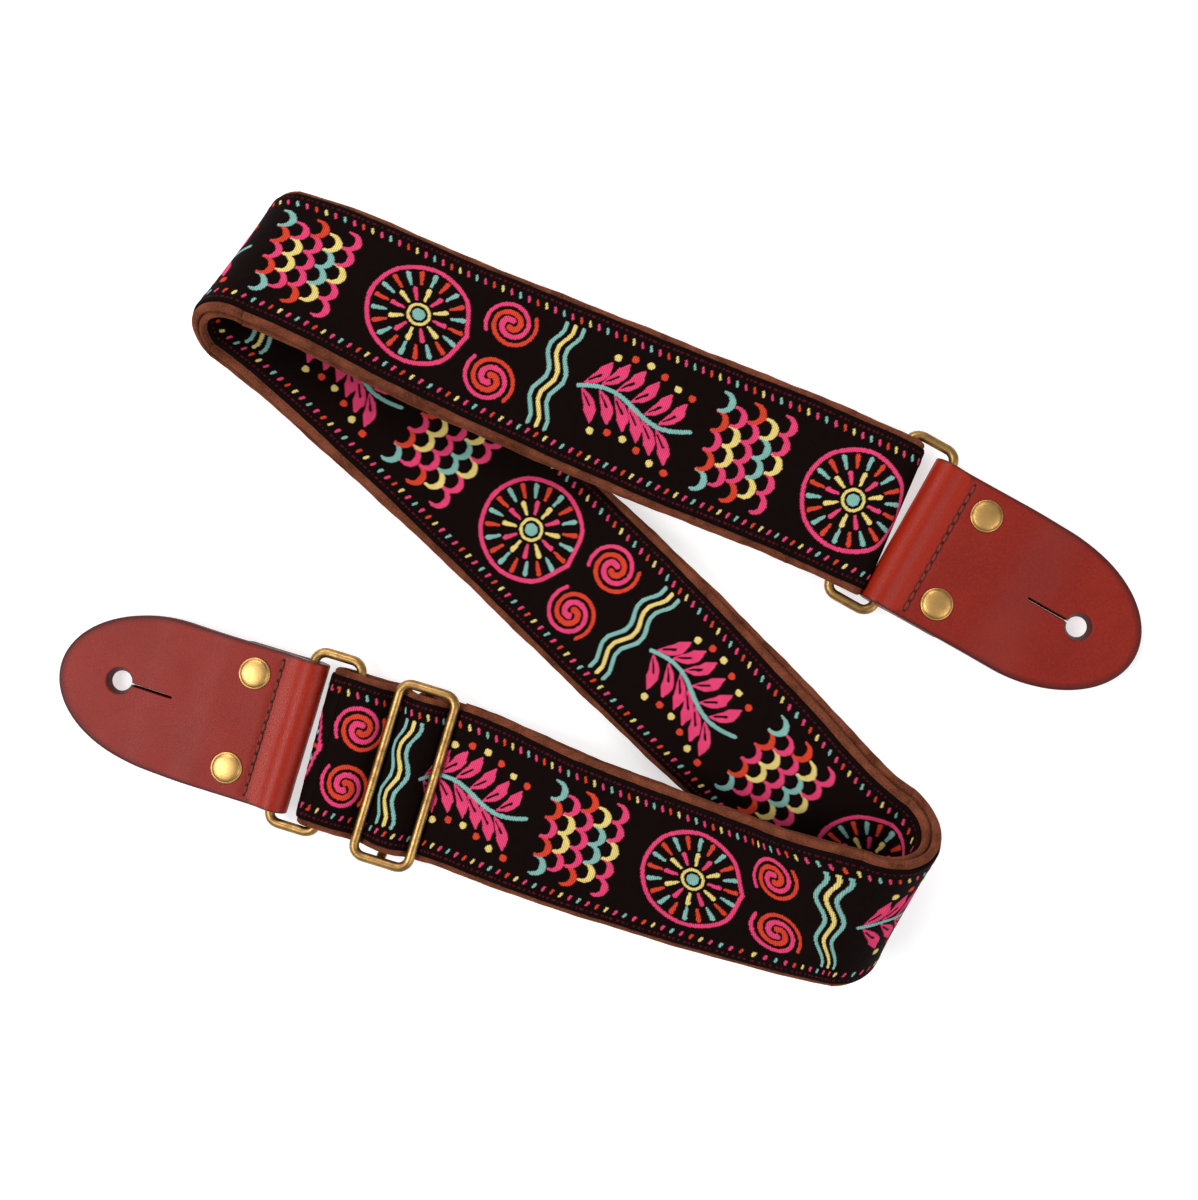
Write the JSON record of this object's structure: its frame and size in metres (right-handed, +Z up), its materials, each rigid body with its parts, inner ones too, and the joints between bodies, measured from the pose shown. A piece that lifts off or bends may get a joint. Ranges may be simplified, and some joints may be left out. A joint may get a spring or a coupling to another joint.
{
  "type": "guitar strap",
  "caption": "Adjustable folded webbing strap with a woven ribbon face, a three-bar slider, two rings and riveted leather ends for strap buttons.",
  "frame": {"origin": "under the middle of the strap's outline, on the surface it lies on", "axes": "+X along the folded strap from the slider's end to the other end, +Y across its folds, +Z up"},
  "size_m": [0.3292, 0.2338, 0.0511],
  "materials": {
    "backing": "napped brown cotton webbing",
    "ribbon": "black jacquard ribbon with coloured figures",
    "leather": "smooth waxed red-brown leather, burnished edges",
    "thread": "waxed thread",
    "brass": "antique brass plate with dark tarnish"
  },
  "bodies": {
    "strap": {"left_loop_backing": "backing", "left_loop_ribbon": "ribbon", "lower_run_outer_backing": "backing", "lower_run_outer_ribbon": "ribbon", "lower_run_inner_backing": "backing", "lower_run_inner_ribbon": "ribbon", "right_fold_outer_backing": "backing", "right_fold_outer_ribbon": "ribbon", "right_fold_inner_backing": "backing", "right_fold_inner_ribbon": "ribbon", "middle_run_outer_backing": "backing", "middle_run_outer_ribbon": "ribbon", "middle_run_inner_backing": "backing", "middle_run_inner_ribbon": "ribbon", "left_fold_outer_backing": "backing", "left_fold_outer_ribbon": "ribbon", "left_fold_inner_backing": "backing", "left_fold_inner_ribbon": "ribbon", "upper_run_outer_backing": "backing", "upper_run_outer_ribbon": "ribbon", "upper_run_inner_backing": "backing", "upper_run_inner_ribbon": "ribbon", "right_bight_backing": "backing", "right_bight_ribbon": "ribbon"},
    "slider": {"slider_frame": "brass", "slider_bar": "brass", "slider_hump_backing": "backing", "slider_hump_ribbon": "ribbon", "slider_loop_backing": "backing", "slider_loop_ribbon": "ribbon"},
    "left_ring": {"left_ring": "brass"},
    "left_end": {"left_leather": "leather", "left_thread": "thread", "left_rivet_1_front": "brass", "left_rivet_1_back": "brass", "left_rivet_2_front": "brass", "left_rivet_2_back": "brass"},
    "right_ring": {"right_ring": "brass"},
    "right_end": {"right_leather": "leather", "right_thread": "thread", "right_rivet_1_front": "brass", "right_rivet_1_back": "brass", "right_rivet_2_front": "brass", "right_rivet_2_back": "brass"}
  },
  "joints": [
    {"name": "slider_slide", "type": "slide", "parent": "strap", "child": "slider", "axis": [0.9588, -0.284, 0], "range_m": [0, 0.045], "deforming": ["lower_run_outer_backing", "lower_run_outer_ribbon", "lower_run_inner_backing", "lower_run_inner_ribbon"]},
    {"name": "left_ring_turn", "type": "hinge", "parent": "strap", "child": "left_ring", "pos_m": [-0.07704, -0.05106, 0.0067], "axis": [0.284, 0.9588, 0], "range_deg": [-70, 70]},
    {"name": "left_end_turn", "type": "hinge", "parent": "left_ring", "child": "left_end", "pos_m": [-0.09142, -0.0468, 0.0067], "axis": [0.284, 0.9588, 0], "range_deg": [-80, 80]},
    {"name": "right_ring_turn", "type": "hinge", "parent": "strap", "child": "right_ring", "pos_m": [0.08326, 0.02244, 0.0067], "axis": [-0.4848, -0.8746, 0], "range_deg": [-70, 70]},
    {"name": "right_end_turn", "type": "hinge", "parent": "right_ring", "child": "right_end", "pos_m": [0.09638, 0.01517, 0.0067], "axis": [-0.4848, -0.8746, 0], "range_deg": [-80, 80]}
  ]
}
